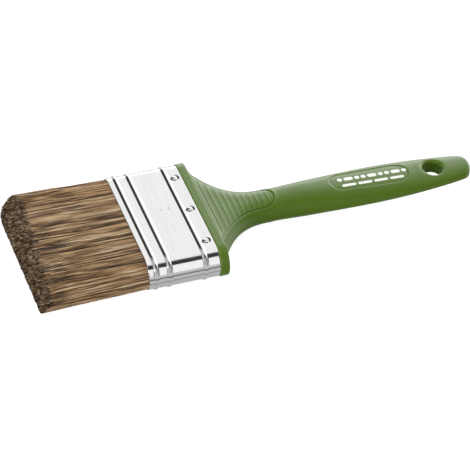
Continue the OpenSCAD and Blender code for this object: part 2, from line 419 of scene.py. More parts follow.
def handle_shell():
    """The moulded handle in front of the tail cap: rings with the ribs and recesses as real relief."""
    ribs = [(RIB_FIRST + RIB_PITCH * k + shift, ONE_ROW) for k in range(RIB_COUNT) for shift in RIB_ROWS]
    rows = spaced(FRONT_X, HANDLE_START + ribs + HANDLE_REST)
    points = np.array([handle_ring(x) for x in rows])
    normals = -grid_normals(points)
    middle = len(rows) // 2
    if np.einsum("ij,ij->", normals[middle], points[middle] * [0, 1, 1]) < 0:
        normals = -normals
    x, y, z = points[..., 0], points[..., 1], points[..., 2]
    height = relief(x, y, z) + handle_edges(x, z)
    points = points + normals * height[..., None] * [0, 1, 1]
    ends = [[rows[0], 0, 0], [rows[-1], 0, 0]]
    # the tenon that the ferrule is nailed to
    gap = SHEET + TENON_GAP
    tenon = [stadium_ring(x0, HALF_W - gap, HALF_T - gap, 60) for x0 in TENON_X]
    tenon_ends = [[x0, 0, 0] for x0 in TENON_X]
    everything = np.concatenate([points.reshape(-1, 3), ends, *tenon, tenon_ends])
    columns = TOP_COLUMNS + LOW_COLUMNS
    tenon_start = len(rows) * columns + len(ends)
    faces = facing_outward(everything, capped_faces(len(rows), columns))
    faces += facing_outward(everything, capped_faces(2, len(tenon[0]), tenon_start))
    return new_mesh("handle_shell", everything + [FERRULE_L, 0, 0], faces)


# -------------------- tail cap

BUTT_EDGE_R, BUTT_EDGE_SHARE = 1.5, 0.55
TOP_BEVEL, LOW_BEVEL = 1.6, 0.35
CAP_TURNS, CAP_STEPS = 300, 64


def cap_surface(x, y, butt):
    """Height of the tail cap's top: the handle's own surface, with the butt's edge rolled over."""
    plain = top_height(x, y)
    flat = np.stack([x, np.abs(y)], -1).reshape(-1, 2)
    gap = nearest(flat, butt)[1].reshape(x.shape)
    radius = np.minimum(BUTT_EDGE_R, BUTT_EDGE_SHARE * plain)
    inner = np.clip(radius - gap, 0, None)
    return plain - radius + np.sqrt(np.maximum(0, radius ** 2 - inner ** 2))


def cap_outline():
    """Half of the cap's plan, from the middle of its seam to the middle of the butt."""
    front = SEAM_X + SEAM_GAP
    turn = np.linspace(0, np.pi / 2, 500)
    along = np.concatenate([np.linspace(front, HANDLE_L - BUTT_ROUND, 500),
                            HANDLE_L - BUTT_ROUND + BUTT_ROUND * np.sin(turn)[1:]])
    half = butt_width(along)
    seam = np.stack([np.full(60, front), np.linspace(0, half[0], 60)], -1)
    return np.concatenate([seam[:-1], np.stack([along, half], -1)])


def cap_face(bevel, angle, reach, butt):
    """One face of the cap, from the wall of the hang hole over its rounded rim and out to the edge."""
    rim_r = HOLE_R + bevel
    cos, sin = np.cos(angle), np.sin(angle)
    edge = top_height(HOLE_X + rim_r * cos, rim_r * sin)
    rings = [(HOLE_R, (edge - bevel) * up) for up in (0.0, 0.35, 0.7, 0.95)]
    for bend in np.linspace(0, np.pi / 2, 9):
        rings.append((HOLE_R + bevel * (1 - math.cos(bend)), edge - bevel * (1 - math.sin(bend))))
    rings = [np.stack([HOLE_X + r * cos, r * sin, z], -1) for r, z in rings]
    share = np.sin(np.linspace(0, np.pi / 2, CAP_STEPS))
    inner = rim_r + 0.1
    radius = inner + (reach[None, :] - inner) * share[:, None]
    x = HOLE_X + radius * cos[None, :]
    y = radius * sin[None, :]
    front = SEAM_X + SEAM_GAP
    z = cap_surface(x, y, butt) - SEAM_EDGE * smooth(x, front + SEAM_EDGE_L, front)
    return np.concatenate([np.array(rings), np.stack([x, y, z], -1)])


def tail_cap_shell():
    """The plug at the end of the handle, with its bevelled hang hole."""
    outline = cap_outline()
    butt = outline[outline[:, 0] > HANDLE_L - BUTT_ROUND]
    from_hole = outline - [HOLE_X, 0]
    angle_of = np.arctan2(from_hole[:, 1], from_hole[:, 0])
    order = np.argsort(angle_of)
    angle = np.linspace(-np.pi, np.pi, CAP_TURNS, endpoint=False)
    reach = np.interp(np.abs(angle), angle_of[order], np.hypot(*from_hole[order].T))
    top = cap_face(TOP_BEVEL, angle, reach, butt)
    bottom = cap_face(LOW_BEVEL, angle, reach, butt)[1:] * [1, 1, -1]
    wall = [top[-1] * [1, 1, level] for level in np.linspace(1, -1, 9)[1:-1]]
    whole = np.concatenate([top, wall, bottom[::-1]])
    flat = whole.reshape(-1, 3)
    faces = facing_outward(flat, [grid_faces(len(whole), CAP_TURNS, closed=True)])
    return new_mesh("tail_cap_shell", flat + [FERRULE_L, 0, 0], faces)


# -------------------- ferrule

NEAR_STEPS, LOW_STEPS, FAR_STEPS, TOP_STEPS = 84, 90, 50, 190
FERRULE_ROWS = [(0.5, 0.08), (2.2, 0.4), (5.0, 0.11), (8.2, 0.4), (11.0, 0.11), (14.2, 0.5), (22.4, 0.24),
                (24.4, 0.4), (31.4, 0.13), (FERRULE_L, 0.13)]
SEAM_BAND = (math.radians(79), math.radians(95))
SEAM_EASE = 0.012
SEAM_LIFT, CREASE_DEPTH = 0.14, 0.1
DIMPLE_R, DIMPLE_FLOOR_R, DIMPLE_DEPTH = 2.5, 1.45, 0.3
MARK_X, MARK_Y = 18.2, 2.0
MARK_R, MARK_BAR_Y, MARK_DEPTH = 1.9, 4.2, 0.09
RIM_R, RIM_L = 0.2, 0.22


def bead_height(x):
    """Height of the rolled beads, each a round arc with a soft foot."""
    height = np.zeros(np.shape(x))
    for middle in BEADS:
        s = np.abs(x - middle)
        arc = np.sqrt(np.maximum(0, BEAD_R ** 2 - s ** 2)) - (BEAD_R - BEAD_H)
        foot = BEAD_FOOT * np.exp(-np.maximum(0, s - BEAD_FOOT_X) / BEAD_FOOT)
        low_part = np.maximum(arc, 0) * 0.5 + np.minimum(foot, 0.1) * 0.6
        height = np.maximum(height, np.where(arc > 0.1, arc, low_part))
    return height


def pressed_mark(x, y):
    """A plain size mark: a shallow ring with a bar on each side of it."""
    dx, dy = x - MARK_X, y - MARK_Y
    ring = bell(np.hypot(dx, dy), MARK_R, 0.26)
    bars = bell(dy, -MARK_BAR_Y, 0.3) + bell(dy, MARK_BAR_Y, 0.3)
    return -MARK_DEPTH * (ring + np.exp(-(dx / 1.5) ** 6) * bars)


def sleeve_outline():
    """Round the sleeve, near side first: the arc's middle, the angle round the near side, and the normal."""
    middle = HALF_W - HALF_T
    near = np.pi * shares(NEAR_STEPS)
    far = np.pi * shares(FAR_STEPS)
    low = 2 * middle * shares(LOW_STEPS)
    top = 2 * middle * shares(TOP_STEPS)
    base_y = np.concatenate([np.full(NEAR_STEPS, -middle), low - middle,
                             np.full(FAR_STEPS, middle), middle - top])
    angle = np.concatenate([near, np.zeros(LOW_STEPS + FAR_STEPS + TOP_STEPS)])
    normal_y = np.concatenate([-np.sin(near), np.zeros(LOW_STEPS), np.sin(far), np.zeros(TOP_STEPS)])
    normal_z = np.concatenate([np.cos(near), np.full(LOW_STEPS, -1.0), -np.cos(far), np.ones(TOP_STEPS)])
    return base_y, angle, normal_y, normal_z


def lap_seam(angle):
    """Height of the lap on the near side, and how much painted shade goes on the creases beside it."""
    first, last = SEAM_BAND
    on_side = angle > 0
    lap = smooth(angle, first - SEAM_EASE, first + SEAM_EASE)
    lap = lap * smooth(angle, last + SEAM_EASE, last - SEAM_EASE)
    creases = bell(angle, first, 0.02) + 0.7 * bell(angle, last, 0.02)
    # how much painted shade goes on each crease
    dark = bell(angle, first, 0.04) + 0.6 * bell(angle, last, 0.045)
    return (SEAM_LIFT * lap - CREASE_DEPTH * creases) * on_side, dark * on_side


def ferrule_sleeve():
    """The rolled sheet ferrule: beads, nail dimples, pressed mark, lap seam and eased edges."""
    rows = spaced(0.0, FERRULE_ROWS)
    base_y, angle, normal_y, normal_z = sleeve_outline()
    x = rows[:, None] + 0 * base_y
    y = base_y + 0 * x
    lift = bead_height(x)
    for nail_x, nail_y in NAIL_ROW:
        dimple = smooth(np.hypot(x - nail_x, y - nail_y), DIMPLE_R, DIMPLE_FLOOR_R)
        lift = lift - DIMPLE_DEPTH * dimple * (np.abs(normal_z) > 0.999)
    lift = lift + pressed_mark(x, y) * (normal_z > 0.999)
    seam, dark = lap_seam(angle)
    lift = lift + seam
    for end in (0.0, FERRULE_L):
        near_end = np.clip(1 - np.abs(x - end) / RIM_L, 0, 1)
        lift = lift - RIM_R * (1 - np.sqrt(1 - near_end ** 2))

    def wall(x, radius):
        return np.stack([x + 0 * base_y, base_y + radius * normal_y, radius * normal_z], -1)

    inner_x = np.array([FERRULE_L, 28.0, 16.0, 6.0, 0.9, 0.0])[:, None]
    inner_r = np.full(inner_x.shape, HALF_T - SHEET)
    inner_r[[0, -1]] += 0.08
    whole = np.concatenate([wall(x, HALF_T + lift), wall(inner_x, inner_r)])
    flat = whole.reshape(-1, 3)
    faces = facing_outward(flat, [grid_faces(*whole.shape[:2], closed=True)])
    sleeve = new_mesh("ferrule_sleeve", flat, faces)
    # painted shade beside the lap seam's creases, for the material to read
    lap_crease_shade = np.zeros(whole.shape[:2])
    lap_crease_shade[:len(rows)] = dark
    point_values(sleeve, "lap_crease_shade", lap_crease_shade.ravel())
    return sleeve


# radius and height of a nail's outline, from the crown of its head to its point
NAIL_PROFILE = [(0.0, 0.5), (0.4, 0.49), (0.8, 0.45), (1.15, 0.37), (1.4, 0.26), (1.54, 0.14), (1.58, 0.05),
                (1.5, -0.03), (0.7, -0.08), (0.7, -4.6), (0.35, -5.1), (0.0, -5.3)]
NAIL_SIDES = 44


def nail(name, face, x, y):
    """A nail with a slightly domed head, sitting in its dimple."""
    base = HALF_T - DIMPLE_DEPTH
    turn = np.linspace(0, 2 * np.pi, NAIL_SIDES, endpoint=False)
    rings = [np.stack([x + r * np.cos(turn), y + r * np.sin(turn), np.full(NAIL_SIDES, base + h)], -1)
             for r, h in NAIL_PROFILE[1:-1]]
    ends = [[x, y, base + NAIL_PROFILE[0][1]], [x, y, base + NAIL_PROFILE[-1][1]]]
    flat = np.concatenate([*rings, ends]) * [1, 1, face]
    faces = facing_outward(flat - [x, y, 0], capped_faces(len(rings), NAIL_SIDES))
    return new_mesh(name, flat, faces)


# -------------------- print on the label recess

# each row of the mark: where it starts, its middle, its half height, its gaps and its lengths
PRINT_ROWS = ((66.4, 1.15, 1.12, 0.75, (2.3, 4.4, 2.3) * 3),
              (67.4, -2.9, 0.75, 0.9, (6.7,) * 4))
# a print's film: scale of each ring of the outline, and its height over the recess's floor
FILM_RINGS = ((1.0, 0.0), (1.0, 0.035), (0.97, 0.045), (0.5, 0.05))


def pill_outline(x0, x1, middle, half):
    """A long round-ended patch, seen from above."""
    a = np.linspace(-np.pi / 2, np.pi / 2, 13)
    count = max(2, int((x1 - x0) / 0.6))
    run = np.linspace(x0 + half, x1 - half, count)[1:-1]
    x = np.concatenate([x1 - half + half * np.cos(a), run[::-1], x0 + half - half * np.cos(a), run])
    y = np.concatenate([middle + half * np.sin(a), np.full(len(run), middle + half),
                        middle - half * np.sin(a), np.full(len(run), middle - half)])
    return x, y


def label_print():
    """A generic mark of two rows of discs and pills, printed on the floor of the recess."""
    points, faces = [], []
    start = 0
    for x0, middle, half, gap, lengths in PRINT_ROWS:
        for length in lengths:
            x, y = pill_outline(x0, x0 + length, middle, half)
            x0 += length + gap
            cx, cy = np.mean(x), np.mean(y)
            ring = np.arange(len(x))
            for scale, lift in FILM_RINGS + ((0.0, FILM_RINGS[-1][1]),):
                px, py = cx + (x - cx) * scale, cy + (y - cy) * scale
                film = np.stack([px, py, top_height(px, py) - LABEL_DEPTH + lift], -1)
                points.append(film if scale else film[:1])
            faces.append(grid_faces(len(FILM_RINGS), len(x), start)[:, ::-1])
            centre = start + len(FILM_RINGS) * len(x)
            faces.append(fan_faces(ring + centre - len(x), centre, False))
            start = centre + 1
    return new_mesh("label_print", np.concatenate(points) + [FERRULE_L, 0, 0], faces)


# -------------------- bristles

SKIN_DEPTH = 1.25
SKIN_SPACING, HEART_SPACING = 0.25, 0.42
WIDE_CLUMP, FINE_CLUMP = 2.4, 0.82
WIDE_LEAN, FINE_LEAN, OWN_LEAN = (1.3, 0.3), (0.95, 0.22), (0.34, 0.14)
WIDE_PULL, FINE_PULL, STRAY_PULL = 0.26, 0.52, 0.2
STRAY_SHARE, STRAY_LEAN = 0.14, (5.0, 1.3)
KEEP_IN, KEEP_STEPS = 0.12, 9
STRAND_SIDES = 3
ROOT_X = 1.1
LAYER_Z = 2.6
HEART_STRAND_L = 13.0
SKIN_RADIUS, HEART_RADIUS, TIP_TAPER = 0.165, 0.2, 0.3
# raggedness of the cut: each strand's own, a fine clump's below and above, a wide clump's above
OWN_RAGGED, FINE_RAGGED, TOP_RAGGED, WIDE_RAGGED = 0.25, 0.35, 0.95, 0.8
ROLLED_BACK, ROLL_DEPTH = 0.9, 2.6
TRIM_X = -PACK_OUT - 0.7
# shares of a strand's length at which its rings stand; the last two make the cut end
SKIN_RINGS = (0.0, 0.08, 0.16, 0.24, 0.32, 0.41, 0.5, 0.6, 0.72, 0.85, 0.955, 0.982, 1.0)
HEART_RINGS = (0.0, 0.5, 0.86, 0.955, 1.0)


def oval_depth(y, z, hw, ht):
    """Depth of a point below the flat oval's outline."""
    return ht - np.hypot(np.maximum(np.abs(y) - (hw - ht), 0), z)


def hex_places(spacing, hw, ht, rng, jitter):
    """Jittered hexagonal places inside the flat oval."""
    out = []
    for k, z in enumerate(np.arange(-ht, ht + spacing, spacing * 0.866)):
        y = np.arange(-hw, hw + spacing, spacing) + (k % 2) * spacing / 2
        out.append(np.stack([y, np.full(len(y), z)], -1))
    p = np.concatenate(out)
    p = p + rng.uniform(-jitter, jitter, p.shape) * spacing
    return p[oval_depth(p[:, 0], p[:, 1], hw, ht) > 0.02]


def value_noise(x, y, seed, scale):
    """Smooth random values over a plane."""
    table = np.random.default_rng(seed).uniform(-1, 1, (64, 64))
    u, v = np.asarray(x) / scale + 31.7, np.asarray(y) / scale + 17.3
    i, j = np.floor(u).astype(int), np.floor(v).astype(int)
    fu, fv = u - i, v - j
    fu, fv = fu * fu * (3 - 2 * fu), fv * fv * (3 - 2 * fv)
    a, b = table[i % 64, j % 64], table[(i + 1) % 64, j % 64]
    c, d = table[i % 64, (j + 1) % 64], table[(i + 1) % 64, (j + 1) % 64]
    return (a * (1 - fu) + b * fu) * (1 - fv) + (c * (1 - fu) + d * fu) * fv


def tip_setback(y, z):
    """How far the cut tip stands back from the pack's end: domed, a little twisted, rounded at both sides."""
    dome = DOME_R - np.sqrt(np.maximum(0, DOME_R ** 2 - (z + DOME_DROP) ** 2))
    corner = np.clip((np.abs(y) - TIP_HW + CORNER_L) / CORNER_L, 0, 1)
    twist = TIP_TWIST * y / TIP_HW * np.clip(z / TIP_HT, 0, 1) ** 1.5
    return dome + twist + np.where(y > 0, FAR_CORNER, NEAR_CORNER) * corner ** CORNER_POWER


def tip_depth(ends):
    """Depth of strand ends below the pack's outline at the tip."""
    return oval_depth(ends[:, 0], ends[:, 1], TIP_HW, TIP_HT)


def strand_roots():
    """The strands' roots, dense in the skin of the pack, and the clumps that they belong to."""
    rng = np.random.default_rng(20)
    skin = hex_places(SKIN_SPACING, MOUTH_HW, MOUTH_HT, rng, 0.42)
    skin = skin[oval_depth(skin[:, 0], skin[:, 1], MOUTH_HW, MOUTH_HT) < SKIN_DEPTH]
    heart = hex_places(HEART_SPACING, MOUTH_HW, MOUTH_HT, rng, 0.4)
    heart = heart[oval_depth(heart[:, 0], heart[:, 1], MOUTH_HW, MOUTH_HT) >= SKIN_DEPTH]
    root = np.concatenate([skin, heart])
    wide = hex_places(WIDE_CLUMP, MOUTH_HW + 1, MOUTH_HT + 1, rng, 0.45)
    fine = hex_places(FINE_CLUMP, MOUTH_HW + 0.6, MOUTH_HT + 0.6, rng, 0.45)
    return SimpleNamespace(rng=rng, count=len(root), root=root, is_skin=np.arange(len(root)) < len(skin),
                           wide=wide, wide_of=nearest(root, wide)[0],
                           fine=fine, fine_of=nearest(root, fine)[0])


def lean_tips(s):
    """Tips of the strands: spread from the roots, pulled into clumps, leaning, and kept inside the pack."""
    wide_lean = s.rng.normal(0, 1, (len(s.wide), 2)) * WIDE_LEAN
    fine_lean = s.rng.normal(0, 1, (len(s.fine), 2)) * FINE_LEAN
    s.wide_tone = s.rng.uniform(0, 1, len(s.wide))
    s.fine_tone = s.rng.uniform(0, 1, len(s.fine))
    own = s.rng.normal(0, 1, (s.count, 2)) * OWN_LEAN
    stray = (s.rng.uniform(0, 1, s.count) < STRAY_SHARE) & s.is_skin
    own[stray] *= STRAY_LEAN
    growth = np.array([TIP_HW / MOUTH_HW, TIP_HT / MOUTH_HT])
    s.tip = s.root * growth
    pull_wide = (s.wide[s.wide_of] * growth - s.tip) * WIDE_PULL
    pull_fine = (s.fine[s.fine_of] * growth - s.tip) * np.where(stray, STRAY_PULL, FINE_PULL)[:, None]
    end = s.tip + pull_wide + pull_fine + (wide_lean[s.wide_of] + fine_lean[s.fine_of] + own)
    at_side = np.abs(end[:, 0]) > TIP_HW - TIP_HT
    outward = np.stack([np.sign(end[:, 0]) * at_side, np.sign(end[:, 1])], -1)
    for _ in range(KEEP_STEPS):
        over = np.maximum(0, KEEP_IN - tip_depth(end))
        end = end - outward * over[:, None] * 0.7
    s.end = end


def cut_tips(s):
    """How far out each strand reaches: the trimmed tip, ragged by clump on top and rolled at the edge."""
    upper = smooth(s.end[:, 1], -3.5, 1.0)
    fine_cut = s.rng.uniform(0, 1, len(s.fine))
    wide_cut = s.rng.uniform(0, WIDE_RAGGED, len(s.wide))
    ragged = OWN_RAGGED * np.abs(s.rng.normal(0, 1, s.count))
    ragged = ragged + (FINE_RAGGED + TOP_RAGGED * upper) * fine_cut[s.fine_of]
    ragged = ragged + upper * wide_cut[s.wide_of]
    rolled = ROLLED_BACK * upper * np.clip(1 - tip_depth(s.end) / ROLL_DEPTH, 0, 1) ** 2
    s.end_x = TRIM_X + tip_setback(s.end[:, 0], s.end[:, 1]) + ragged + rolled
    s.start_x = np.where(s.is_skin, ROOT_X, s.end_x + HEART_STRAND_L)


def colour_strands(s):
    """Thickness of each strand, and the values that its material reads."""
    s.radius = np.where(s.is_skin, SKIN_RADIUS, HEART_RADIUS) * s.rng.uniform(0.8, 1.2, s.count)
    tone = 0.62 * s.fine_tone[s.fine_of] + 0.12 * s.wide_tone[s.wide_of] + 0.26 * s.rng.uniform(0, 1, s.count)
    s.tone = np.clip(0.5 + 1.55 * (tone - 0.5), 0, 1)
    fine_warm = s.fine_tone[(s.fine_of * 7) % len(s.fine_tone)]
    wide_warm = s.wide_tone[(s.wide_of * 5) % len(s.wide_tone)]
    s.warm = 0.45 * fine_warm + 0.25 * wide_warm + 0.3 * s.rng.uniform(0, 1, s.count)
    # the cut value paints a strand's end as a pale lit dot when above nought and as dark gap shade when below
    cut = 0.6 * s.rng.uniform(0, 1, len(s.fine))[s.fine_of] + 0.4 * s.rng.uniform(0, 1, s.count)
    cut = np.clip(2.8 * (cut - 0.56), -1, 1)
    s.cut = np.where(s.is_skin & (cut > 0), 0.35 * cut, cut)
    s.wave = s.rng.uniform(0, 2 * np.pi, s.count)


def strand_rings(s, pick, share):
    """Points of the picked strands, and how far along the pack each of their rings stands."""
    def column(values):
        return values[pick, None]

    x = column(s.start_x) + column(s.end_x - s.start_x) * share
    out = np.clip((ROOT_X - x) / (ROOT_X + PACK_OUT), 0, 1)
    spread, pull = out ** 1.15, out ** 1.6
    y, z = (column(s.root[:, k]) + column((s.tip - s.root)[:, k]) * spread
            + column((s.end - s.tip)[:, k]) * pull for k in (0, 1))
    y = y + 0.35 * value_noise(x, y, 3, 9.0) * out + 0.1 * np.sin(column(s.wave) + x * 0.22) * out
    z = z + 0.16 * value_noise(x * 0.6, y, 5, 4.0) * out
    z = z + 0.3 * value_noise(x * 0.13, y, 6, 0.85) * np.sqrt(out) * np.sign(z)
    keep = oval_depth(y, z, HALF_W - 0.25 + 1.3 * out, HALF_T - 0.3 + 0.45 * out)
    z = z - np.sign(z) * np.maximum(0, 0.1 - keep) * 0.8
    radius = column(s.radius) * (1 - TIP_TAPER * out) * np.where(share > 0.99, 0.8, 1.0)
    spin = column(s.wave)[:, None] + np.arange(STRAND_SIDES) * 2 * np.pi / STRAND_SIDES
    ring_y = y[:, :, None] + radius[:, :, None] * np.cos(spin)
    ring_z = z[:, :, None] + radius[:, :, None] * np.sin(spin)
    return np.stack([x[:, :, None] + 0 * spin, ring_y, ring_z], -1).reshape(-1, 3), out


def strand_piece(name, s, in_layer):
    """One layer of the pack: every strand a thin tube with a cut end."""
    points, faces = [], []
    values = {"tone": [], "warm": [], "along": [], "cut": []}
    offset = 0
    for skin_kind, rings in ((True, SKIN_RINGS), (False, HEART_RINGS)):
        pick = np.where(in_layer & (s.is_skin == skin_kind))[0]
        if not len(pick):
            continue
        share = np.array(rings)
        block, out = strand_rings(s, pick, share)
        per = len(rings) * STRAND_SIDES
        first = (np.arange(len(pick)) * per)[:, None, None] + offset
        cap = np.array([[per - 3, per - 2, per - 1]])
        faces.append((grid_faces(len(rings), STRAND_SIDES)[None] + first).reshape(-1, 4))
        faces.append((cap[None] + first).reshape(-1, 3))
        points.append(block)
        values["tone"].append(np.repeat(s.tone[pick], per))
        values["warm"].append(np.repeat(s.warm[pick], per))
        values["along"].append(np.repeat(out.ravel(), STRAND_SIDES))
        at_end = share >= rings[-2]
        values["cut"].append(np.repeat((s.cut[pick, None] * at_end).ravel(), STRAND_SIDES))
        offset += len(pick) * per
    obj = new_mesh(name, np.concatenate(points), faces)
    for label, lists in values.items():
        point_values(obj, label, np.concatenate(lists))
    return obj


def build_strands():
    """The pack's three layers of strands, from the top down."""
    s = strand_roots()
    lean_tips(s)
    cut_tips(s)
    colour_strands(s)
    above, below = s.root[:, 1] > LAYER_Z, s.root[:, 1] < -LAYER_Z
    return [strand_piece("strands_upper", s, above),
            strand_piece("strands_middle", s, ~above & ~below),
            strand_piece("strands_lower", s, below)]


HEART_INSET = 0.75
HEART_FRONT, HEART_BACK = 0.6, -PACK_OUT + 6.5


def bristle_heart_shade():
    """A dark solid behind the surface strands: the dense heart of the pack, coloured as painted shade."""
    rings = []
    for x in [HEART_FRONT, *np.linspace(0, HEART_BACK, 22)]:
        out = np.clip(-x / PACK_OUT, 0, 1)
        hw = MOUTH_HW + (TIP_HW - MOUTH_HW) * out - HEART_INSET
        ht = MOUTH_HT + (TIP_HT - MOUTH_HT) * out - HEART_INSET
        rings.append(stadium_ring(x, hw, ht, 70))
    for inset in (0.2, 0.6, 1.5, 3.0):
        last = rings[-1]
        shrunk = np.sign(last) * np.maximum(0, np.abs(last) - inset)
        rings.append(np.column_stack([last[:, 0] - 0.5, shrunk[:, 1:]]))
    ends = [[HEART_FRONT, 0, 0], [rings[-1][0, 0], 0, 0]]
    flat = np.concatenate([*rings, ends])
    faces = facing_outward(flat, capped_faces(len(rings), len(rings[0])))
    return new_mesh("bristle_heart_shade", flat, faces)


# -------------------- materials

class Nodes:
    """A short way to write node trees."""

    def __init__(self, tree):
        self.tree = tree
        tree.nodes.clear()

    def set(self, socket, value):
        """Link a socket, or set its own value."""
        if isinstance(value, bpy.types.NodeSocket):
            self.tree.links.new(value, socket)
        else:
            socket.default_value = value

    def add(self, kind, inputs=None, **settings):
        node = self.tree.nodes.new(kind)
        for key, value in settings.items():
            setattr(node, key, value)
        for key, value in (inputs or {}).items():
            self.set(node.inputs[key], value)
        return node

    def math(self, operation, a, b=0.0, clamp=False):
        return self.add("ShaderNodeMath", {0: a, 1: b}, operation=operation, use_clamp=clamp).outputs[0]

    def times(self, a, *others):
        for other in others:
            a = self.math("MULTIPLY", a, other)
        return a

    def plus(self, a, *others):
        for other in others:
            a = self.math("ADD", a, other)
        return a

    def step(self, value, low, high, to_low=0.0, to_high=1.0):
        """to_low below low, to_high above high; low may be above high."""
        inputs = {"Value": value, "From Min": low, "From Max": high, "To Min": to_low, "To Max": to_high}
        return self.add("ShaderNodeMapRange", inputs, interpolation_type="SMOOTHSTEP").outputs["Result"]

    def band(self, value, rise_from, rise_to, fall_from, fall_to):
        """1 from rise_to up to fall_from, and 0 outside."""
        return self.times(self.step(value, rise_from, rise_to), self.step(value, fall_to, fall_from))

    def place(self):
        return self.add("ShaderNodeTexCoord").outputs["Object"]

    def point_value(self, label):
        return self.add("ShaderNodeAttribute", attribute_name=label).outputs["Fac"]

    def noise(self, place, scale, detail=3.0, rough=0.5):
        """Noise at one scale, or at a scale for each axis."""
        if isinstance(scale, tuple):
            place = self.add("ShaderNodeMapping", {"Vector": place, "Scale": scale}).outputs["Vector"]
            scale = 1.0
        inputs = {"Vector": place, "Scale": scale, "Detail": detail, "Roughness": rough}
        return self.add("ShaderNodeTexNoise", inputs).outputs["Fac"]

    def mix(self, factor, a, b, blend="MIX"):
        node = self.add("ShaderNodeMix", data_type="RGBA", blend_type=blend)
        for socket, value in ((0, factor), (6, a), (7, b)):
            self.set(node.inputs[socket], value)
        return node.outputs[2]

    def bump(self, height, strength, distance):
        inputs = {"Height": height, "Strength": strength, "Distance": distance}
        return self.add("ShaderNodeBump", inputs).outputs[0]

    def surface(self, colour, rough, **others):
        """Finish the tree with a Principled shader; an underscore stands for a space in a socket's name."""
        inputs = {name.replace("_", " "): value for name, value in others.items()}
        shader = self.add("ShaderNodeBsdfPrincipled", {"Base Color": colour, "Roughness": rough, **inputs})
        self.add("ShaderNodeOutputMaterial", {"Surface": shader.outputs[0]})


def new_material(name):
    """An empty material and its node tree."""
    material = bpy.data.materials.new(name)
    material.use_nodes = True
    return material, Nodes(material.node_tree)


def srgb(r, g, b):
    """A colour written from 0 to 255, as the linear colour that a shader takes."""
    def line(c):
        c = c / 255
        return c / 12.92 if c <= 0.04045 else ((c + 0.055) / 1.055) ** 2.4
    return (line(r), line(g), line(b), 1.0)


def shade(colour, share):
    """A darker colour."""
    return tuple(c * share for c in colour[:3]) + (1.0,)


GREEN_DEEP, GREEN, GREEN_FLOW = srgb(75, 103, 20), srgb(80, 108, 23), srgb(87, 113, 28)
# a painted highlight for the plastic's convex edges and a painted shade for its creases
GREEN_EDGE_HIGHLIGHT, GREEN_CREASE_SHADE = srgb(122, 154, 62), srgb(34, 54, 8)
# painted shade for the steel's concave creases and for the creases beside the lap seam
STEEL_CREASE_SHADE, STEEL_LAP_SHADE = (0.12, 0.11, 0.1, 1.0), (0.03, 0.029, 0.027, 1.0)
# where each bristle colour stands, from painted shade for the gaps between strands to the palest strand
BRISTLE_RAMP = ((0.1, srgb(46, 30, 19)), (0.3, srgb(122, 91, 58)), (0.5, srgb(186, 151, 106)),
                (0.72, srgb(228, 194, 144)), (0.95, srgb(252, 238, 212)))
BRISTLE_GOLD, BRISTLE_ROSE, BRISTLE_TIP = srgb(204, 158, 84), srgb(178, 146, 132), srgb(92, 66, 44)
# a painted highlight for lit cut ends and a painted shade for the gaps between them
CUT_END_HIGHLIGHT, CUT_END_SHADE = srgb(250, 230, 200), srgb(34, 22, 13)


def plastic_material():
    """Moulded satin plastic: faint mottling, fine texture, a painted highlight on convex edges and painted
    shade in concave creases.
    """
    material, n = new_material("moulded_green_plastic")
    place = n.place()
    cloud = n.noise(place, 38.0, 3.0, 0.55)
    grain = n.noise(place, 2600.0, 2.0, 0.6)
    flow = n.noise(place, (25.0, 110.0, 110.0), 2.0, 0.5)
    edge = n.add("ShaderNodeNewGeometry").outputs["Pointiness"]
    # painted highlight on convex edges and painted shade in concave creases and grooves, by the mesh's
    # pointiness
    edge_highlight = n.step(edge, 0.505, 0.54)
    crease_shade = n.step(edge, 0.495, 0.46)
    colour = n.mix(n.step(cloud, 0.3, 0.7), GREEN_DEEP, GREEN)
    colour = n.mix(n.step(flow, 0.35, 0.75, 0.0, 0.3), colour, GREEN_FLOW)
    colour = n.mix(n.times(edge_highlight, 0.3), colour, GREEN_EDGE_HIGHLIGHT)
    colour = n.mix(n.times(crease_shade, 0.55), colour, GREEN_CREASE_SHADE)
    rough = n.plus(n.times(grain, 0.12), n.times(cloud, 0.1), 0.31)
    # the underside and the parts seen straight on are duller
    facing = n.add("ShaderNodeLayerWeight", {"Blend": 0.5}).outputs["Facing"]
    normal = n.add("ShaderNodeTexCoord").outputs["Normal"]
    up = n.add("ShaderNodeSeparateXYZ", {"Vector": normal}).outputs["Z"]
    gloss = n.times(n.step(facing, 0.12, 0.64, 0.22, 1.0), n.step(up, -0.15, 0.4, 0.1, 1.0))
    n.surface(colour, rough, Normal=n.bump(grain, 0.08, 0.00003), IOR=1.5, Specular_IOR_Level=gloss)
    return material


def steel_material(name, base, rough_low, rough_high):
    """Bright plated steel with fine rolling lines, faint waves and small rubbed spots, with painted shade in
    concave creases and beside the lap seam.
    """
    material, n = new_material(name)
    place = n.place()
    lines = n.noise(place, (900.0, 30.0, 900.0), 3.0, 0.6)
    wave = n.noise(place, 90.0, 2.0, 0.5)
    spots = n.noise(place, 420.0, 4.0, 0.7)
    edge = n.add("ShaderNodeNewGeometry").outputs["Pointiness"]
    colour = n.mix(n.step(lines, 0.35, 0.65, 0.0, 0.5), base, shade(base, 0.93))
    colour = n.mix(n.step(spots, 0.62, 0.8, 0.0, 0.35), colour, shade(base, 0.8))
    # painted shade in concave creases, by the mesh's pointiness
    colour = n.mix(n.times(n.step(edge, 0.49, 0.44), 0.5), colour, STEEL_CREASE_SHADE)
    # painted shade on the creases beside the lap seam
    lap = n.math("MULTIPLY", n.point_value("lap_crease_shade"), 0.95, clamp=True)
    colour = n.mix(lap, colour, STEEL_LAP_SHADE)
    rough = n.step(n.plus(n.times(lines, 0.5), n.times(spots, 0.5)), 0.3, 0.7, rough_low, rough_high)
    bump = n.bump(n.plus(wave, n.times(lines, 0.08)), 0.18, 0.0001)
    n.surface(colour, rough, Metallic=1.0, Normal=bump)
    return material


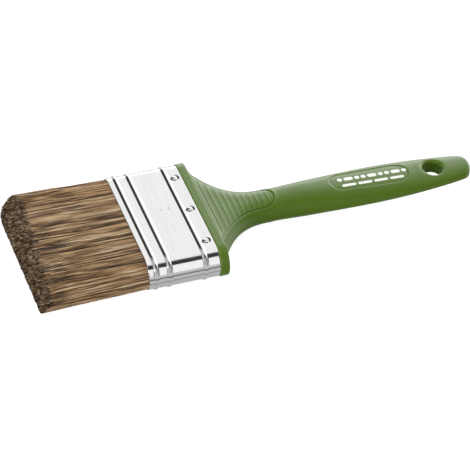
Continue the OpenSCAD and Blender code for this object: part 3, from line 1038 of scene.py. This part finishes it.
def bristle_material():
    """Strand colours by clump and by strand, mottled along the length, with a painted highlight on some cut
    ends and painted shade on others.
    """
    material, n = new_material("bristle_strands")
    tone, warm, along, cut = (n.point_value(label) for label in ("tone", "warm", "along", "cut"))
    place = n.place()
    streak = n.noise(place, (48.0, 1300.0, 1300.0), 3.0, 0.6)
    patch = n.noise(place, (60.0, 210.0, 210.0), 2.0, 0.5)
    dash = n.noise(place, (85.0, 1500.0, 1500.0), 2.0, 0.5)
    level = n.plus(n.times(tone, 0.56), n.step(streak, 0.36, 0.64, -0.06, 0.26),
                   n.step(patch, 0.3, 0.7, -0.07, 0.13), n.step(dash, 0.36, 0.64, -0.14, 0.22))
    ramp = n.add("ShaderNodeValToRGB", {"Fac": level})
    stops = ramp.color_ramp.elements
    stops[0].position, stops[0].color = BRISTLE_RAMP[0]
    stops[1].position, stops[1].color = BRISTLE_RAMP[-1]
    for position, colour in BRISTLE_RAMP[1:-1]:
        stops.new(position).color = colour
    colour = n.mix(n.step(warm, 0.52, 0.85, 0.0, 0.4), ramp.outputs["Color"], BRISTLE_GOLD, "MULTIPLY")
    colour = n.mix(n.step(warm, 0.42, 0.15, 0.0, 0.3), colour, BRISTLE_ROSE)
    colour = n.mix(n.step(along, 0.6, 1.0, 0.0, 0.25), colour, BRISTLE_TIP)
    # painted highlight on some cut ends, and painted shade on others
    colour = n.mix(n.step(cut, -0.1, 0.7, 0.0, 0.85), colour, CUT_END_HIGHLIGHT)
    colour = n.mix(n.step(cut, 0.0, -0.8, 0.0, 0.9), colour, CUT_END_SHADE)
    colour = n.mix(1.0, colour, (0.77, 0.75, 0.72, 1.0), "MULTIPLY")
    n.surface(colour, n.step(streak, 0.3, 0.7, 0.34, 0.52), IOR=1.5, Specular_IOR_Level=0.3)
    return material


def heart_shade_material():
    """Deep shade between the strands, streaked along them."""
    material, n = new_material("bristle_shade")
    streak = n.noise(n.place(), (60.0, 1500.0, 1500.0), 3.0, 0.6)
    colour = n.mix(n.step(streak, 0.35, 0.65), srgb(26, 17, 10), srgb(70, 50, 33))
    n.surface(colour, 0.8, Normal=n.bump(streak, 0.6, 0.0003))
    return material


def print_material():
    """White ink, a little uneven and thinned in spots."""
    material, n = new_material("white_print")
    place = n.place()
    film = n.noise(place, 900.0, 3.0, 0.6)
    wear = n.noise(place, 260.0, 4.0, 0.7)
    colour = n.mix(n.step(film, 0.3, 0.7), srgb(236, 240, 230), srgb(246, 248, 242))
    colour = n.mix(n.step(wear, 0.66, 0.82, 0.0, 0.6), colour, srgb(186, 200, 160))
    n.surface(colour, n.step(film, 0.3, 0.7, 0.42, 0.56), Normal=n.bump(film, 0.15, 0.00003))
    return material


def grainy_material(name, dark, light, stretch, rough, bump_size):
    """A matt mottled solid for the hidden pieces: wood, resin and bound bristle roots."""
    material, n = new_material(name)
    grain = n.noise(n.place(), stretch, 5.0, 0.65)
    colour = n.mix(n.step(grain, 0.3, 0.7), dark, light)
    rough = n.step(grain, 0.3, 0.7, rough - 0.08, rough + 0.1)
    n.surface(colour, rough, Normal=n.bump(grain, 0.4, bump_size))
    return material


def put(obj, material):
    """Make this an object's only material."""
    obj.data.materials.clear()
    obj.data.materials.append(material)


# -------------------- studio

BOX_LIGHT, TENT_LIGHT, RIGHT_LIGHT, LOW_LIGHT = 1.67, 0.85, 0.5, 0.07
CARD_GLOW, CARD_SEEN, CARD_MIRRORED = 1.42, 0.66, 0.36
FLOOR_SIZE = 40.0
AZIMUTH, ELEVATION, ROLL = math.radians(-19.62), math.radians(40.09), math.radians(1.59)
AIM = (45.46, -14.84, -0.13)
DISTANCE = 1.313
LENS = 229.5


def build_world():
    """A pale tent, a soft box over and behind the brush, and a dark gap on two sides of the box."""
    world = bpy.data.worlds.new("studio")
    SCENE.world = world
    world.use_nodes = True
    n = Nodes(world.node_tree)
    way = n.add("ShaderNodeTexCoord").outputs["Generated"]
    x, y, z = n.add("ShaderNodeSeparateXYZ", {"Vector": way}).outputs
    # angle of the way from straight up, toward the front; behind the brush it is negative
    lean = n.math("ARCTAN2", n.times(y, -1.0), z)
    box_x = n.step(x, 0.0, 0.14)
    behind = n.times(n.band(lean, -1.72, -1.6, -1.3, -1.05), 0.9)
    box = n.times(n.plus(n.band(lean, -1.72, -1.6, 0.13, 0.3), behind), box_x, BOX_LIGHT)
    front_gap = n.times(n.band(lean, 0.13, 0.3, 1.2, 1.5), n.band(x, -0.2, -0.05, 0.5, 0.6))
    side_gap = n.times(n.band(lean, -1.35, -1.15, -0.5, -0.3), n.band(x, -0.62, -0.56, 0.0, 0.14))
    closed = n.math("MAXIMUM", n.math("MAXIMUM", front_gap, side_gap), box_x)
    left = n.times(n.math("SUBTRACT", 1.0, closed), TENT_LIGHT)
    right = n.times(n.step(x, 0.5, 0.65), n.step(z, -0.02, 0.1), RIGHT_LIGHT)
    light = n.plus(box, n.math("MAXIMUM", left, right), LOW_LIGHT)
    # the camera itself sees plain white
    seen = n.add("ShaderNodeLightPath").outputs["Is Camera Ray"]
    light = n.plus(n.times(light, n.math("SUBTRACT", 1.0, seen)), seen)
    grey = n.add("ShaderNodeCombineColor", {0: light, 1: light, 2: light}).outputs[0]
    background = n.add("ShaderNodeBackground", {"Color": grey, "Strength": 1.0})
    n.add("ShaderNodeOutputWorld", {"Surface": background.outputs[0]})


def area_light(name, location, target, size_x, size_y, power):
    """A soft rectangular light, aimed at a point."""
    data = bpy.data.lights.new(name, "AREA")
    data.shape = "RECTANGLE"
    data.size, data.size_y, data.energy = size_x, size_y, power
    obj = bpy.data.objects.new(name, data)
    obj.location = location
    obj.rotation_mode = "QUATERNION"
    obj.rotation_quaternion = (Vector(location) - Vector(target)).to_track_quat("Z", "Y")
    obj.visible_camera = False
    SCENE.collection.objects.link(obj)


def build_floor():
    """A pale floor that takes the brush's soft shadow."""
    material, n = new_material("pale_floor")
    tooth = n.noise(n.place(), 300.0, 3.0, 0.5)
    colour = n.mix(n.step(tooth, 0.3, 0.7), (0.7, 0.7, 0.7, 1), (0.72, 0.72, 0.72, 1))
    card = n.add("ShaderNodeBsdfPrincipled",
                 {"Base Color": colour, "Roughness": 0.75, "Specular IOR Level": 0.2})
    white = n.add("ShaderNodeEmission", {"Strength": CARD_GLOW})
    path = n.add("ShaderNodeLightPath").outputs
    seen = n.plus(n.times(path["Is Camera Ray"], CARD_SEEN), n.times(path["Is Glossy Ray"], CARD_MIRRORED))
    shader = n.add("ShaderNodeMixShader", {0: seen, 1: card.outputs[0], 2: white.outputs[0]})
    n.add("ShaderNodeOutputMaterial", {"Surface": shader.outputs[0]})
    size = FLOOR_SIZE
    mesh = bpy.data.meshes.new("floor")
    corners = [(-size, -size, 0), (size, -size, 0), (size, size, 0), (-size, size, 0)]
    mesh.from_pydata(corners, [], [(0, 1, 2, 3)])
    floor = bpy.data.objects.new("floor", mesh)
    floor.location.z = CAD_BOX[0].z - 0.0002
    put(floor, material)
    SCENE.collection.objects.link(floor)


def build_camera():
    """A long lens, looking down along the brush from its bristle end."""
    level = math.cos(ELEVATION)
    back = Vector((math.sin(AZIMUTH) * level, -math.cos(AZIMUTH) * level, math.sin(ELEVATION)))
    right = Vector((0, 0, 1)).cross(back).normalized()
    up = back.cross(right)
    turned_right = right * math.cos(ROLL) + up * math.sin(ROLL)
    turned_up = up * math.cos(ROLL) - right * math.sin(ROLL)
    data = bpy.data.cameras.new("camera")
    data.sensor_width = 36.0
    data.lens = LENS
    data.clip_start, data.clip_end = 0.05, 100.0
    camera = bpy.data.objects.new("camera", data)
    place = Vector(to_row([AIM])[0]) + back * DISTANCE
    turn = Matrix((turned_right, turned_up, back)).transposed()
    camera.matrix_world = Matrix.Translation(place) @ turn.to_4x4()
    SCENE.collection.objects.link(camera)
    SCENE.camera = camera


# -------------------- build

build_camera()
build_world()
build_floor()
SCENE.view_settings.view_transform = "Standard"

PLASTIC = plastic_material()
STEEL = steel_material("plated_steel", (0.5, 0.497, 0.49, 1.0), 0.08, 0.16)
NAIL_STEEL = steel_material("nail_steel", (0.42, 0.415, 0.41, 1.0), 0.14, 0.24)
BRISTLE = bristle_material()

handle = handle_shell()
put(handle, PLASTIC)
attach(handle, "root")
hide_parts("handle_body")

cap = tail_cap_shell()
put(cap, PLASTIC)
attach(cap, "root")
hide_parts("tail_cap")

sleeve = ferrule_sleeve()
put(sleeve, STEEL)
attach(sleeve, "root")
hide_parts("ferrule")

for face, face_name in ((1, "top"), (-1, "bottom")):
    for place_name in ("near", "middle", "far"):
        node = f"nail_{face_name}_{place_name}"
        pin = nail("pin_" + face_name + "_" + place_name, face, *nail_place(node))
        put(pin, NAIL_STEEL)
        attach(pin, "root")
        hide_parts(node)

mark = label_print()
put(mark, print_material())
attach(mark, "root")

BEND_FROM = tuple(to_row([[-0.5, 0, 0]])[0])
BEND_TO = tuple(to_row([[-34.0, 0, 0]])[0])
for strands, node in zip(build_strands(), ("bristles_upper", "bristles_middle", "bristles_lower")):
    put(strands, BRISTLE)
    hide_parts(node)
    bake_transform(strands)
# the heart is coloured as painted shade between the strands
heart = bristle_heart_shade()
put(heart, heart_shade_material())
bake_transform(heart)

# the pieces that no new mesh replaces are hidden inside the brush
ROOTS = grainy_material("bound_roots", srgb(52, 36, 22), srgb(120, 92, 62),
                        (120.0, 2200.0, 2200.0), 0.7, 0.0002)
RESIN = grainy_material("cured_resin", srgb(150, 104, 40), srgb(186, 138, 66),
                        (160.0, 160.0, 160.0), 0.35, 0.0001)
WOOD = grainy_material("spacer_wood", srgb(150, 112, 70), srgb(198, 160, 112),
                       (900.0, 60.0, 900.0), 0.65, 0.0001)
for node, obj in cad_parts.items():
    if obj.hide_render:
        continue
    put(obj, RESIN if node.startswith("resin") else WOOD if node.startswith("spacer") else ROOTS)

# a low card light that only the ferrule's near side mirrors
area_light("front_card", (0.045, -0.33, 0.15), (-0.04, -0.03, 0.008), 0.09, 0.3, 0.15)
# a small fill for the cut ends of the bristles
area_light("tip_fill", (-0.3, -0.1, 0.07), (-0.1, 0.0, 0.008), 0.08, 0.08, 0.42)

bpy.context.view_layer.update()
